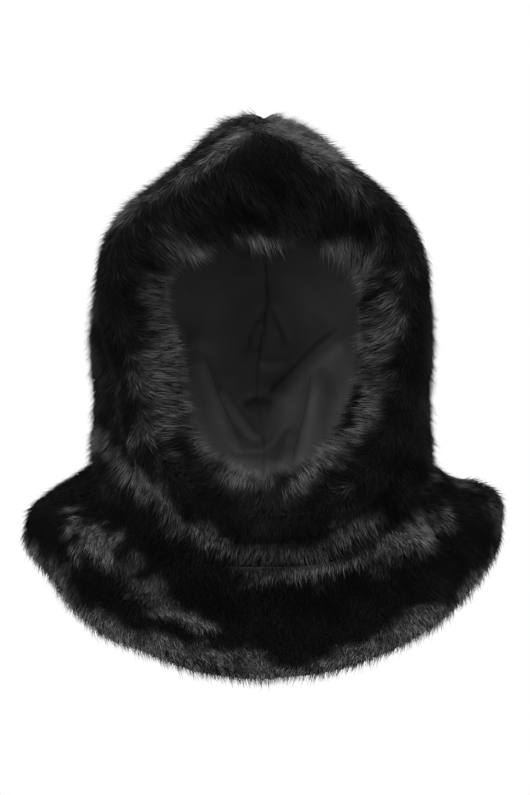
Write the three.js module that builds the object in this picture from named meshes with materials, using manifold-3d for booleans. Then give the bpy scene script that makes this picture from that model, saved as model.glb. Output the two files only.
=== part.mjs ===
// A fur hood with a shoulder cape, in millimetres, with +Z up and the face looking along -Y.
// Two fur panels make the hood, a folded fur band frames the face, a fur cape hangs from the neck
// seam, and a jersey lining in two halves lies inside the panels. Left and right are the wearer's,
// so left is +X. The origin is where the top of the head meets the lining.
import * as THREE from "three";
import { LoftGeometry } from "three/addons/geometries/LoftGeometry.js";
import { mergeVertices } from "three/addons/utils/BufferGeometryUtils.js";
import Module from "manifold-3d";

const wasm = await Module();
wasm.setup();

// Cloth: the fur is its backing and its pile together.
const furThickness = 15;
const liningThickness = 1.6;
const liningSlack = 4;
const lockRelief = 5;
const clearance = 0.4;
const seamGap = 0.6;

// The hood, over the fur. Its height is from the neck seam at the ears to the crown.
const hoodWidth = 281;
const hoodDepth = 262;
const hoodHeight = 286;
const chinDrop = 83;
const napeDrop = 36;

// The face opening and the folded band round it.
const faceWidth = 152;
const faceHeight = 192;
const faceLevel = 199;
const bandBreadth = 61;
const bandDepth = 54;
const bandSink = 9;
const browRise = 32;
const browSpread = 46;

// The cape, over the fur. The drops are from the neck seam at the ears to the hem.
const capeWidth = 396;
const capeFront = 158;
const capeBack = 162;
const capeSideDrop = 68;
const capeFrontDrop = 171;
const capeBackDrop = 138;

// How finely the faceted surfaces follow the cloth. Hood, lining and cape share their columns.
const roundColumns = 52;
const hoodRows = 21;
const linedRows = 13;
const bandSteps = 58;
const bandColumns = 14;
const capeRows = 8;

const crownTop = furThickness + 2 * clearance + liningThickness;
const earSeam = crownTop - hoodHeight;
const liningDepth = furThickness + 2 * clearance;
const faceLevelZ = crownTop - faceLevel;

// Level sections of the hood. Rise is a share of hoodHeight, half of half the hoodWidth, and front
// and back of hoodDepth. The powers square the section: 2 is an ellipse.
const hoodSections = [
  { rise: -0.3, half: 1.0, front: 0.5, back: 0.4, frontPower: 3.0, backPower: 2.3 },
  { rise: 0.0, half: 1.0, front: 0.475, back: 0.44, frontPower: 3.0, backPower: 2.3 },
  { rise: 0.18, half: 0.98, front: 0.465, back: 0.475, frontPower: 3.0, backPower: 2.3 },
  { rise: 0.36, half: 1.0, front: 0.465, back: 0.52, frontPower: 3.0, backPower: 2.3 },
  { rise: 0.47, half: 0.98, front: 0.47, back: 0.53, frontPower: 3.0, backPower: 2.3 },
  { rise: 0.6, half: 0.93, front: 0.468, back: 0.52, frontPower: 2.8, backPower: 2.2 },
  { rise: 0.7, half: 0.85, front: 0.455, back: 0.495, frontPower: 2.6, backPower: 2.1 },
  { rise: 0.76, half: 0.73, front: 0.445, back: 0.47, frontPower: 2.4, backPower: 2.0 },
  { rise: 0.82, half: 0.585, front: 0.435, back: 0.435, frontPower: 2.3, backPower: 1.9 },
  { rise: 0.88, half: 0.46, front: 0.415, back: 0.39, frontPower: 2.2, backPower: 1.8 },
  { rise: 0.93, half: 0.345, front: 0.375, back: 0.34, frontPower: 2.1, backPower: 1.8 },
  { rise: 0.97, half: 0.235, front: 0.3, back: 0.27, frontPower: 2.0, backPower: 1.8 },
  { rise: 1.0, half: 0.08, front: 0.16, back: 0.16, frontPower: 2.0, backPower: 2.0 },
];

// Soft forms pushed out of the hood, or in where push is negative. Across is a share of half the
// hoodWidth, along and reach of hoodDepth, rise of hoodHeight, and push of furThickness.
const hoodDents = [
  { name: "brow_ridge", across: -0.2, along: -0.16, rise: 0.95, reach: 0.12, push: 0.5 },
  { name: "crown_fold", across: -0.3, along: 0.02, rise: 0.93, reach: 0.1, push: -0.65 },
  { name: "back_corner", across: -0.16, along: 0.2, rise: 0.97, reach: 0.12, push: 0.3 },
  { name: "right_slope", across: 0.55, along: -0.05, rise: 0.84, reach: 0.16, push: 0.25 },
  { name: "chin_lip", across: 0.2, along: -0.5, rise: -0.26, reach: 0.13, push: 0.9 },
  { name: "chin_lip_end", across: -0.25, along: -0.5, rise: -0.24, reach: 0.11, push: 0.5 },
  { name: "nape_hollow", across: 0.0, along: 0.45, rise: 0.08, reach: 0.25, push: -0.5 },
];

// The edge of the face opening, clockwise from its top as seen from the front. Across is a share of
// half the faceWidth, and up of half the faceHeight.
const faceOutline = [
  { across: 0.04, up: 1.0 },
  { across: 0.62, up: 0.98 },
  { across: 0.98, up: 0.76 },
  { across: 1.03, up: 0.35 },
  { across: 1.02, up: -0.02 },
  { across: 0.92, up: -0.42 },
  { across: 0.68, up: -0.75 },
  { across: 0.36, up: -0.95 },
  { across: 0.02, up: -1.0 },
  { across: -0.36, up: -0.9 },
  { across: -0.64, up: -0.7 },
  { across: -0.78, up: -0.4 },
  { across: -0.84, up: -0.05 },
  { across: -0.97, up: 0.35 },
  { across: -0.97, up: 0.75 },
  { across: -0.55, up: 0.95 },
];

// The folded band's section. Out is a share of half the bandBreadth, away from the opening, and
// fore of half the bandDepth, towards the front.
const bandSection = [
  { out: -1.0, fore: -0.3 },
  { out: -0.65, fore: -0.92 },
  { out: 0.15, fore: -1.0 },
  { out: 0.8, fore: -0.65 },
  { out: 1.0, fore: 0.05 },
  { out: 0.8, fore: 0.7 },
  { out: 0.32, fore: 1.0 },
  { out: -0.22, fore: 0.84 },
  { out: -0.72, fore: 0.38 },
];

// The cape's fall from seam to hem, at the shoulder and over the chest or back. Down is a share of
// the drop, and the spreads are shares of the way out to the hem.
const capeFall = [
  { along: 0.0, sideOut: 0.0, sideDown: 0.0, chestOut: 0.0, chestDown: 0.0 },
  { along: 0.2, sideOut: 0.32, sideDown: 0.14, chestOut: 0.06, chestDown: 0.22 },
  { along: 0.4, sideOut: 0.63, sideDown: 0.3, chestOut: 0.2, chestDown: 0.44 },
  { along: 0.6, sideOut: 0.87, sideDown: 0.47, chestOut: 0.42, chestDown: 0.65 },
  { along: 0.8, sideOut: 0.98, sideDown: 0.7, chestOut: 0.72, chestDown: 0.84 },
  { along: 1.0, sideOut: 1.0, sideDown: 1.0, chestOut: 1.0, chestDown: 1.0 },
];

// Soft forms in the cape. Turn is in degrees from the front towards the wearer's left, spread in
// degrees, along and reach are shares of the fall, and push is a share of furThickness.
const capeDents = [
  { name: "right_shoulder_fold", turn: -62, spread: 16, along: 0.42, reach: 0.22, push: 0.6 },
  { name: "right_chest_hollow", turn: -36, spread: 11, along: 0.35, reach: 0.3, push: -0.6 },
  { name: "right_chest_ridge", turn: -30, spread: 9, along: 0.72, reach: 0.18, push: 0.7 },
  { name: "right_hem_tuck", turn: -66, spread: 11, along: 0.95, reach: 0.3, push: -0.5 },
  { name: "right_hem_wave", turn: -38, spread: 10, along: 1.0, reach: 0.25, push: 0.5 },
  { name: "chest_hollow", turn: 8, spread: 20, along: 0.5, reach: 0.3, push: -0.45 },
  { name: "left_chest_ridge", turn: 42, spread: 11, along: 0.22, reach: 0.2, push: 0.8 },
  { name: "left_shoulder_crease", turn: 60, spread: 5, along: 0.3, reach: 0.25, push: -0.7 },
  { name: "left_shoulder_fold", turn: 84, spread: 16, along: 0.5, reach: 0.25, push: 0.8 },
  { name: "left_hem_wave", turn: 40, spread: 12, along: 1.0, reach: 0.25, push: 0.5 },
  { name: "back_fold_left", turn: 140, spread: 12, along: 0.7, reach: 0.4, push: 0.6 },
  { name: "back_fold_right", turn: -145, spread: 12, along: 0.7, reach: 0.4, push: 0.6 },
  { name: "back_hollow", turn: 180, spread: 16, along: 0.6, reach: 0.4, push: -0.4 },
];

// Folds that stand up from the lining's back, each along a line as seen through the opening. Across
// and up run as in the face outline, and width and height are shares of furThickness.
const liningFolds = [
  { name: "right_drape", fromAcross: -0.7, fromUp: 0.1, toAcross: -0.28, toUp: -0.84, width: 0.9, height: 0.8 },
  { name: "right_inner_drape", fromAcross: -0.36, fromUp: -0.2, toAcross: -0.04, toUp: -0.62, width: 0.8, height: 0.4 },
  { name: "left_drape", fromAcross: 0.98, fromUp: 0.12, toAcross: 0.34, toUp: -0.4, width: 1.1, height: 0.8 },
  { name: "left_pleat", fromAcross: 0.62, fromUp: -0.35, toAcross: 0.4, toUp: -0.95, width: 0.9, height: 0.6 },
  { name: "nape_swag", fromAcross: -0.28, fromUp: -0.88, toAcross: 0.12, toUp: -0.88, width: 0.9, height: 0.7 },
  { name: "seam_pucker", fromAcross: 0.08, fromUp: 0.4, toAcross: 0.08, toUp: 0.0, width: 1.1, height: 0.3 },
];

const fullTurn = 2 * Math.PI;

// A column of a table at any place between its rows, on a smooth curve through them.
function read(table, key, column, at) {
  const last = table.length - 1;
  const place = THREE.MathUtils.clamp(at, table[0][key], table[last][key]);
  let row = 0;
  while (row < last - 1 && place > table[row + 1][key]) row += 1;
  const slope = (i) => {
    const before = table[Math.max(i - 1, 0)];
    const after = table[Math.min(i + 1, last)];
    return (after[column] - before[column]) / (after[key] - before[key]);
  };
  const from = table[row];
  const to = table[row + 1];
  const span = to[key] - from[key];
  const t = (place - from[key]) / span;
  const ease = t * t * (3 - 2 * t);
  const lead = t * (1 - t) * (1 - t) * span * slope(row);
  const trail = t * t * (t - 1) * span * slope(row + 1);
  return from[column] + ease * (to[column] - from[column]) + lead + trail;
}

function signedPower(value, power) {
  return Math.sign(value) * Math.abs(value) ** power;
}

// One where a dent is deepest, falling to nothing past its reach.
function fading(distance, reach) {
  return Math.exp(-((distance / reach) ** 2));
}

// How high a lock of fur stands over the valleys beside it, as a share. Each lock is two columns
// wide and two rows long, and its neighbours lie half a lock further on.
function lockHeight(column, row) {
  const tip = (row + Math.floor(column / 2)) % 2 === 0;
  if (column % 2 === 0) return tip ? 0.15 : 0;
  return tip ? 1 : 0.45;
}

function pileLoss(column, row) {
  return lockRelief * (1 - lockHeight(column, row));
}

// The locks of the hood grow shallow where its columns draw together at the crown.
function hoodPileLoss(column, row) {
  return pileLoss(column, row) * (1 - (row / hoodRows) ** 4);
}

// The height of the neck seam, with the angle from the front, towards the wearer's left.
function seamHeight(angle) {
  const ahead = Math.cos(angle);
  return earSeam - (ahead > 0 ? chinDrop * ahead ** 1.5 : napeDrop * ahead ** 2);
}

function hoodSection(z) {
  const rise = (z - earSeam) / hoodHeight;
  const column = (name) => read(hoodSections, "rise", name, rise);
  return {
    half: (column("half") * hoodWidth) / 2,
    front: column("front") * hoodDepth,
    back: column("back") * hoodDepth,
    frontPower: column("frontPower"),
    backPower: column("backPower"),
  };
}

// How far the hood's fur reaches to the front, at a place across it and up it.
function hoodFrontAt(x, z) {
  const { half, front, frontPower } = hoodSection(z);
  const share = Math.min(Math.abs(x) / half, 0.95);
  return front * (1 - share ** frontPower) ** (1 / frontPower);
}

function hoodDentAt(point) {
  let push = 0;
  for (const dent of hoodDents) {
    const centre = new THREE.Vector3(
      (dent.across * hoodWidth) / 2,
      dent.along * hoodDepth,
      earSeam + dent.rise * hoodHeight,
    );
    push += dent.push * furThickness * fading(point.distanceTo(centre), dent.reach * hoodDepth);
  }
  return push;
}

// A point of the hood at an angle and a share of the way from neck seam to crown, that many
// millimetres inside the fur's outer surface. The inside follows the soft forms less than the pile.
function hoodPoint(angle, share, inside) {
  const seam = seamHeight(angle);
  const z = seam + share * (crownTop - seam);
  const { half, front, back, frontPower, backPower } = hoodSection(z);
  const ahead = Math.cos(angle);
  const [depth, power] = ahead > 0 ? [front, frontPower] : [back, backPower];
  const point = new THREE.Vector3(
    half * signedPower(Math.sin(angle), 2 / power),
    -depth * signedPower(ahead, 2 / power),
    z,
  );
  const core = new THREE.Vector3(0, point.y * 0.4, Math.min(z, crownTop - 0.35 * hoodHeight));
  const inward = core.sub(point).normalize();
  const follow = 1 - (0.75 * inside) / liningDepth;
  return point.addScaledVector(inward, inside - follow * hoodDentAt(point));
}

// The closed curve along the edge of the face opening, and the one round the band's section.
const faceEdge = new THREE.CatmullRomCurve3(
  faceOutline.map(
    (row) => new THREE.Vector3((row.across * faceWidth) / 2, 0, (row.up * faceHeight) / 2 + faceLevelZ),
  ),
  true,
);
const bandEdge = new THREE.CatmullRomCurve3(
  bandSection.map((row) => new THREE.Vector3((row.out * bandBreadth) / 2, (row.fore * bandDepth) / 2, 0)),
  true,
);

// A point of the opening's outline that many millimetres out from its edge, and the way out.
function outlinePoint(turn, outset) {
  const tangent = faceEdge.getTangentAt(turn);
  const out = new THREE.Vector3(-tangent.z, 0, tangent.x).normalize();
  return { point: faceEdge.getPointAt(turn).addScaledVector(out, outset), out };
}

// The band is broader over the brow, where it rises to a peak in front of the crown.
function bandBreadthAt(turn) {
  const { point } = outlinePoint(turn, 0);
  const overFace = THREE.MathUtils.smoothstep(point.z, faceLevelZ, faceLevelZ + faceHeight / 2);
  return bandBreadth + browRise * overFace * fading(point.x, browSpread);
}

function bandPoint(turn, around, grow) {
  const breadth = bandBreadthAt(turn);
  const { point, out } = outlinePoint(turn, breadth / 2);
  const place = bandEdge.getPoint(around);
  place.x *= breadth / bandBreadth;
  place.setLength(place.length() + grow);
  const middle = -(hoodFrontAt(point.x, point.z) - bandSink);
  return point.addScaledVector(out, place.x).setY(middle - place.y);
}

// How deep the cape's soft forms push it at a place.
function capeDentAt(angle, along) {
  let push = 0;
  for (const dent of capeDents) {
    const apart = THREE.MathUtils.euclideanModulo(angle - THREE.MathUtils.degToRad(dent.turn) + Math.PI, fullTurn);
    const turned = fading(apart - Math.PI, THREE.MathUtils.degToRad(dent.spread));
    push += dent.push * furThickness * turned * fading(along - dent.along, dent.reach);
  }
  return push;
}

function capeSurface(angle, along) {
  const ahead = Math.cos(angle);
  const seam = hoodPoint(angle, 0, 0);
  seam.z -= clearance;
  const [reach, drop] = ahead > 0 ? [capeFront, capeFrontDrop] : [capeBack, capeBackDrop];
  const hem = new THREE.Vector3(
    (Math.sin(angle) * capeWidth) / 2,
    -ahead * reach,
    earSeam - capeSideDrop - (drop - capeSideDrop) * Math.abs(ahead) ** 1.2,
  );
  const side = Math.sin(angle) ** 2;
  const column = (name) => read(capeFall, "along", name, along);
  const out = THREE.MathUtils.lerp(column("chestOut"), column("sideOut"), side);
  const down = THREE.MathUtils.lerp(column("chestDown"), column("sideDown"), side);
  return new THREE.Vector3(
    THREE.MathUtils.lerp(seam.x, hem.x, out),
    THREE.MathUtils.lerp(seam.y, hem.y, out),
    THREE.MathUtils.lerp(seam.z, hem.z, down),
  );
}

// A point of the cape, that many millimetres inside the fur's outer surface. At the seam the wall
// is level, so that it meets the hood's rim face to face.
function capePoint(angle, along, inside) {
  const step = 0.01;
  const point = capeSurface(angle, along);
  const turned = capeSurface(angle + step, along).sub(capeSurface(angle - step, along));
  const fallen = capeSurface(angle, Math.min(along + step, 1)).sub(capeSurface(angle, Math.max(along - step, 0)));
  const inward = fallen.cross(turned).normalize().negate();
  const level = hoodPoint(angle, 0, 1).sub(hoodPoint(angle, 0, 0)).normalize();
  const leave = THREE.MathUtils.smoothstep(along, 0, 0.3);
  const way = level.lerp(inward, leave).normalize();
  return point.addScaledVector(way, inside - leave * capeDentAt(angle, along));
}

function ring(columns, pointAt) {
  return Array.from({ length: columns }, (_, column) => pointAt(column, (column / columns) * fullTurn));
}

// A closed surface through rings as a solid. Its ends are single points, or it runs back to its start.
function loftSolid(rings, endless) {
  return solidOf(new LoftGeometry(endless ? [...rings, rings[0]] : rings));
}

// A closed geometry as a solid, without the faces that have shrunk to a line at a pole.
function solidOf(geometry) {
  const bare = new THREE.BufferGeometry();
  bare.setAttribute("position", geometry.getAttribute("position"));
  bare.setIndex(geometry.getIndex());
  const merged = mergeVertices(bare, 1e-3);
  const corners = merged.getIndex().array;
  const faces = [];
  for (let i = 0; i < corners.length; i += 3) {
    const [a, b, c] = corners.subarray(i, i + 3);
    if (a !== b && b !== c && c !== a) faces.push(a, b, c);
  }
  return new wasm.Manifold(
    new wasm.Mesh({
      numProp: 3,
      vertProperties: new Float32Array(merged.getAttribute("position").array),
      triVerts: new Uint32Array(faces),
    }),
  );
}

function geometryOf(solid) {
  const mesh = solid.getMesh();
  const geometry = new THREE.BufferGeometry();
  geometry.setAttribute("position", new THREE.BufferAttribute(mesh.vertProperties, 3));
  geometry.setIndex(new THREE.BufferAttribute(mesh.triVerts, 1));
  geometry.computeVertexNormals();
  return geometry;
}

// The hood's wall, down its inside from the crown and up its outside from the neck seam.
function hoodWall() {
  const rings = [];
  for (let row = linedRows; row >= 0; row -= 1) {
    const share = crownwards(row / linedRows);
    rings.push(ring(roundColumns, (column, angle) => hoodPoint(angle, share, furThickness)));
  }
  for (let row = 0; row <= hoodRows; row += 1) {
    const share = crownwards(row / hoodRows);
    rings.push(ring(roundColumns, (column, angle) => hoodPoint(angle, share, hoodPileLoss(column, row))));
  }
  return poleToPole(rings);
}

// Rows lie closer together near the crown, where the hood turns over, and stop just short of it.
function crownwards(share) {
  return 0.995 * (1 - (1 - share) ** 1.35);
}

// A wall closed over at the crown, inside and outside, by a point in the middle of each end ring.
function poleToPole(rings) {
  const pole = (ringAt) => {
    const middle = ringAt.reduce((sum, point) => sum.add(point), new THREE.Vector3());
    middle.divideScalar(ringAt.length);
    return ringAt.map(() => middle);
  };
  return loftSolid([pole(rings[0]), ...rings, pole(rings.at(-1))], false);
}

// A point of the lining, held back behind the band, and lifted into the folds that hang at the
// back of the head.
function liningPoint(angle, share, inside) {
  const point = hoodPoint(angle, share, inside);
  const behindBand = bandSink + bandDepth / 2 + liningSlack + (inside - liningDepth);
  const bandMiddle = (faceWidth + bandBreadth) / 2;
  const bandFront = hoodFrontAt(Math.min(Math.abs(point.x) + bandBreadth / 2, bandMiddle), point.z);
  const held = Math.max(point.y, behindBand - bandFront);
  const overBand = faceLevelZ + faceHeight / 2 + bandBreadth;
  const freed = THREE.MathUtils.smoothstep(point.z, overBand - bandBreadth / 2, overBand + bandBreadth / 3);
  point.y = THREE.MathUtils.lerp(held, point.y, freed);
  const lift = liningFoldAt(point) * THREE.MathUtils.smoothstep(-Math.cos(angle), 0.1, 0.6);
  point.y -= lift;
  return point;
}

function liningFoldAt(point) {
  const place = new THREE.Vector3(point.x, 0, point.z);
  const nearest = new THREE.Vector3();
  const onOpening = (across, up) =>
    new THREE.Vector3((across * faceWidth) / 2, 0, (up * faceHeight) / 2 + faceLevelZ);
  let lift = 0;
  for (const fold of liningFolds) {
    const line = new THREE.Line3(onOpening(fold.fromAcross, fold.fromUp), onOpening(fold.toAcross, fold.toUp));
    line.closestPointToPoint(place, true, nearest);
    lift += fold.height * furThickness * fading(place.distanceTo(nearest), fold.width * furThickness);
  }
  return lift;
}

function liningWall() {
  const rings = [];
  const layer = (row, inside) => {
    const share = crownwards(row / linedRows);
    rings.push(ring(roundColumns, (column, angle) => liningPoint(angle, share, inside)));
  };
  for (let row = linedRows; row >= 0; row -= 1) layer(row, liningDepth + liningThickness);
  for (let row = 0; row <= linedRows; row += 1) layer(row, liningDepth);
  return poleToPole(rings);
}

// The band, grown by a clearance where it stands for the room that its neighbours leave it.
function bandSolid(grow) {
  const rings = [];
  for (let step = 0; step < bandSteps; step += 1) {
    const section = (column) =>
      bandPoint(step / bandSteps, column / bandColumns, grow - pileLoss(step, column));
    rings.push(ring(bandColumns, section));
  }
  return loftSolid(rings, true);
}

// Everything in front of the head inside an outline, that far out from the opening's edge.
function openingCutter(outset) {
  const outline = ring(bandSteps, (step) => outlinePoint(step / bandSteps, outset).point);
  const shape = new THREE.Shape(outline.map((point) => new THREE.Vector2(point.x, point.z)));
  const cutter = new THREE.ExtrudeGeometry(shape, { depth: hoodDepth, bevelEnabled: false, curveSegments: 1 });
  cutter.rotateX(Math.PI / 2);
  return solidOf(cutter);
}

function capeSolid() {
  const rings = [];
  const innerRows = Math.ceil(capeRows / 2);
  for (let row = 0; row <= innerRows; row += 1) {
    rings.push(ring(roundColumns, (column, angle) => capePoint(angle, row / innerRows, furThickness)));
  }
  rings.push(
    ring(roundColumns, (column, angle) => {
      const hem = capePoint(angle, 1, furThickness / 2);
      hem.z -= furThickness / 3 - pileLoss(column, 1) / 2;
      return hem;
    }),
  );
  for (let row = capeRows; row >= 0; row -= 1) {
    const along = row / capeRows;
    rings.push(ring(roundColumns, (column, angle) => capePoint(angle, along, row === 0 ? 0 : pileLoss(column, row))));
  }
  return loftSolid(rings, true);
}

// Half of a solid, on the wearer's left or right of the middle seam.
function sideOf(solid, side) {
  const reach = 2 * (hoodWidth + hoodHeight);
  const half = new THREE.BoxGeometry(reach, 2 * reach, 2 * reach);
  half.translate((side * (reach + seamGap)) / 2, 0, 0);
  return solid.intersect(solidOf(half));
}

const bandRoom = bandSolid(clearance);
const hood = hoodWall().subtract(openingCutter(bandBreadth / 2)).subtract(bandRoom);
const lining = liningWall().subtract(openingCutter(clearance)).subtract(bandRoom);

const fur = new THREE.MeshStandardMaterial({ color: 0x0c0c0d, roughness: 0.55, metalness: 0 });
const jersey = new THREE.MeshStandardMaterial({ color: 0x2b2b2d, roughness: 0.9, metalness: 0 });

const group = new THREE.Group();
function add(name, solid, material) {
  const mesh = new THREE.Mesh(geometryOf(solid), material);
  mesh.name = name;
  group.add(mesh);
}

add("hood_panel_left", sideOf(hood, 1), fur);
add("hood_panel_right", sideOf(hood, -1), fur);
add("face_band", bandSolid(0), fur);
add("shoulder_cape", capeSolid(), fur);
add("lining_left", sideOf(lining, 1), jersey);
add("lining_right", sideOf(lining, -1), jersey);

export default group;
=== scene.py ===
"""The looks of a black fur hood with a shoulder cape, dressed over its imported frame."""

import math

import bpy
import numpy as np
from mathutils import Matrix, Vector


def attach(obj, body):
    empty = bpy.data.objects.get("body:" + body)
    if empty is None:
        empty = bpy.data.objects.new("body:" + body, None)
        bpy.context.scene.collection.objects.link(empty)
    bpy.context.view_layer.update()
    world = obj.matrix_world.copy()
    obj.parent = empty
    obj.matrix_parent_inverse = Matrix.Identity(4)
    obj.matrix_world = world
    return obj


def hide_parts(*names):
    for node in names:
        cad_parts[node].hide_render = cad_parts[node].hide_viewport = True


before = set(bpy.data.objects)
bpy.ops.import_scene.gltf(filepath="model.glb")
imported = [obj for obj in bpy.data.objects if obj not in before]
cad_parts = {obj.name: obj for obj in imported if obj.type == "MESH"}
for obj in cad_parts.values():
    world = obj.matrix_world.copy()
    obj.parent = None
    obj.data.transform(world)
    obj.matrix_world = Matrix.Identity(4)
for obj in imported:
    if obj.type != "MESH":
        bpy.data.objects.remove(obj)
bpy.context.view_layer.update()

MM = 0.001

# The sizes that the part's source is driven by, in millimetres.
FUR = 15.0
LINING = 1.6
CLEARANCE = 0.4
LINING_SLACK = 4.0
HOOD_WIDTH = 281.0
HOOD_DEPTH = 262.0
HOOD_HEIGHT = 286.0
CHIN_DROP = 83.0
NAPE_DROP = 36.0
FACE_WIDTH = 152.0
FACE_HEIGHT = 192.0
FACE_LEVEL = 199.0
BAND_BREADTH = 61.0
BAND_DEPTH = 54.0
BAND_SINK = 9.0
BROW_RISE = 32.0
BROW_SPREAD = 46.0
CAPE_WIDTH = 396.0
CAPE_FRONT = 158.0
CAPE_BACK = 162.0
CAPE_SIDE_DROP = 68.0
CAPE_FRONT_DROP = 171.0
CAPE_BACK_DROP = 138.0

CROWN_TOP = FUR + 2 * CLEARANCE + LINING
EAR_SEAM = CROWN_TOP - HOOD_HEIGHT
FACE_MIDDLE = CROWN_TOP - FACE_LEVEL
LINING_DEPTH = FUR + 2 * CLEARANCE

# The hood's dents and the fur's depth are pushed towards a core, this share of the depth and height
# in. The lining loses this share of each dent.
CORE_DEPTH = 0.4
CORE_DROP = 0.35
DENT_LOSS = 0.75

# The pile's roots lie this far under the fur's outer surface, and its backing is this thick. The
# crown's closing rows rise a little. The cape starts this share of the way down, with a rolled hem
# below it, and its backing is tucked up behind the hood's across a gap.
ROOT_DEPTH = 6.0
BACKING = 3.0
CROWN_BULGE = 1.5
HEM_ROLL = 4.5
HEM_ROLL_TURN = 150
HEM_START = 0.915
SEAM_GAP = 0.8
SEAM_TUCK = 6.0

# The turn from the front, in degrees, where the cape's front pile meets its back pile.
CAPE_SIDE_TURN = 105

# How far the hood's cloth and the lining reach over the face opening's edge, behind the band.
HOOD_EDGE = BAND_BREADTH / 2 - 4
LINING_EDGE = 3.0
OUTLINE_STEPS = 240

# Rows and columns of the grids, and of the cape's rolled hem.
HOOD_PILE_GRID = (100, 110)
HOOD_BACKING_GRID = (56, 60)
BAND_PILE_GRID = (260, 72)
BAND_CORE_GRID = (140, 32)
CAPE_PILE_ROWS = (48, 6)
CAPE_BACKING_ROWS = (22, 4)
CAPE_FRONT_COLUMNS = 150
CAPE_BACK_COLUMNS = 90
CAPE_BACKING_COLUMNS = 120

# Each pile's underfur, guard hairs and seed.
HAIRS = {
    "hood_pile_left": (30000, 6400, 11),
    "hood_pile_right": (30000, 6400, 12),
    "face_band_pile": (30500, 6600, 21),
    "cape_pile_front": (31000, 6500, 31),
    "cape_pile_back": (11000, 2400, 32),
}

# How steeply fur stands, how much grey painted sheen it has without any mark, and how long it is
# against the rest. The pairs go from behind to the front on the hood, from the inside out on the
# band, and on the cape down to the hem and from the front to behind.
HOOD_LIFT = (0.68, 0.38)
HOOD_SHEEN = (0.045, 0.012)
HOOD_COVER_BEHIND = 0.6
BAND_LIFT = (0.48, 0.42)
BAND_LIFT_RIM = 0.32
BAND_SHEEN = (0.035, 0.02)
BAND_LENGTH_BROW = 0.7
BAND_LENGTH_OUTER = 0.85
CAPE_LIFT = (0.42, 0.5)
CAPE_SHEEN = (0.012, 0.035)
CAPE_LENGTH = 0.78
LIFT_RANGE = (0.12, 0.92)

# Colours.
HAIR_ROOT = (0.002, 0.002, 0.002, 1)
HAIR_BLACK = (0.0026, 0.0026, 0.0027, 1)
# The hair's lit grey is a painted highlight.
HAIR_LIT = (0.3, 0.3, 0.305, 1)
BACKING_BLACK = (0.002, 0.002, 0.0021, 1)
BACKING_WORN = (0.005, 0.005, 0.0052, 1)
# The backing's lit grey is a painted highlight.
BACKING_LIT = (0.06, 0.06, 0.061, 1)
JERSEY_DARK = (0.046, 0.046, 0.047, 1)
JERSEY_PALE = (0.074, 0.074, 0.076, 1)
# The jersey's palest grey is painted light.
JERSEY_PAINTED_LIT = (0.108, 0.108, 0.11, 1)
# The jersey's crease colour is painted shade, and also the seam's dark line.
JERSEY_SHADE_AND_SEAM = (0.006, 0.006, 0.006, 1)
PAPER = (0.86, 0.86, 0.86, 1)

# The photograph's millimetres to a pixel, its height, and the pixel where the crown's top lies.
PHOTO_SCALE = 0.82
PHOTO_HEIGHT = 795
PHOTO_MIDDLE = 262
PHOTO_CROWN = 115

# The camera's lens and place, in millimetres, and how far it sees, in metres.
LENS = 900.0
CAMERA_ACROSS = 2.5
CAMERA_LEVEL = -214
CAMERA_SIGHT = 60

# The studio, in metres but for the floor's millimetres, and the surround's light against its look.
FLOOR_LEVEL = -620.0
FLOOR_RADIUS = 1500.0
FLOOR_SIDES = 96
LAMPS_AIM = (0, 0, -0.2)
SURROUND_LIGHT = 0.2


def from_photo(across, down):
    """Where a pixel of the photograph lies, across and up, in millimetres."""
    return (across - PHOTO_MIDDLE) * PHOTO_SCALE, CROWN_TOP + (PHOTO_CROWN - down) * PHOTO_SCALE


def place_camera():
    data = bpy.data.cameras.new("camera")
    camera = bpy.data.objects.new("camera", data)
    bpy.context.scene.collection.objects.link(camera)
    bpy.context.scene.camera = camera
    data.lens = LENS
    distance = PHOTO_HEIGHT * PHOTO_SCALE * MM * LENS / data.sensor_width
    camera.location = (CAMERA_ACROSS * MM, -distance, CAMERA_LEVEL * MM)
    camera.rotation_euler = (math.radians(90), 0, 0)
    data.clip_end = CAMERA_SIGHT


place_camera()

# Tables. The first seven are the source's own.


def table(names, *rows):
    """A table with named columns, as a dictionary of arrays."""
    return {name: np.array([row[i] for row in rows], float) for i, name in enumerate(names.split())}


HOOD_SECTIONS = table(
    "rise half front back front_power back_power",
    (-0.3, 1.0, 0.5, 0.4, 3.0, 2.3),
    (0.0, 1.0, 0.475, 0.44, 3.0, 2.3),
    (0.18, 0.98, 0.465, 0.475, 3.0, 2.3),
    (0.36, 1.0, 0.465, 0.52, 3.0, 2.3),
    (0.47, 0.98, 0.47, 0.53, 3.0, 2.3),
    (0.6, 0.93, 0.468, 0.52, 2.8, 2.2),
    (0.7, 0.85, 0.455, 0.495, 2.6, 2.1),
    (0.76, 0.73, 0.445, 0.47, 2.4, 2.0),
    (0.82, 0.585, 0.435, 0.435, 2.3, 1.9),
    (0.88, 0.46, 0.415, 0.39, 2.2, 1.8),
    (0.93, 0.345, 0.375, 0.34, 2.1, 1.8),
    (0.97, 0.235, 0.3, 0.27, 2.0, 1.8),
    (1.0, 0.08, 0.16, 0.16, 2.0, 2.0),
)

# across along rise reach push
HOOD_DENTS = {
    "brow_ridge": (-0.2, -0.16, 0.95, 0.12, 0.5),
    "crown_fold": (-0.3, 0.02, 0.93, 0.1, -0.65),
    "back_corner": (-0.16, 0.2, 0.97, 0.12, 0.3),
    "right_slope": (0.55, -0.05, 0.84, 0.16, 0.25),
    "chin_lip": (0.2, -0.5, -0.26, 0.13, 0.9),
    "chin_lip_end": (-0.25, -0.5, -0.24, 0.11, 0.5),
    "nape_hollow": (0.0, 0.45, 0.08, 0.25, -0.5),
}

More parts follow.
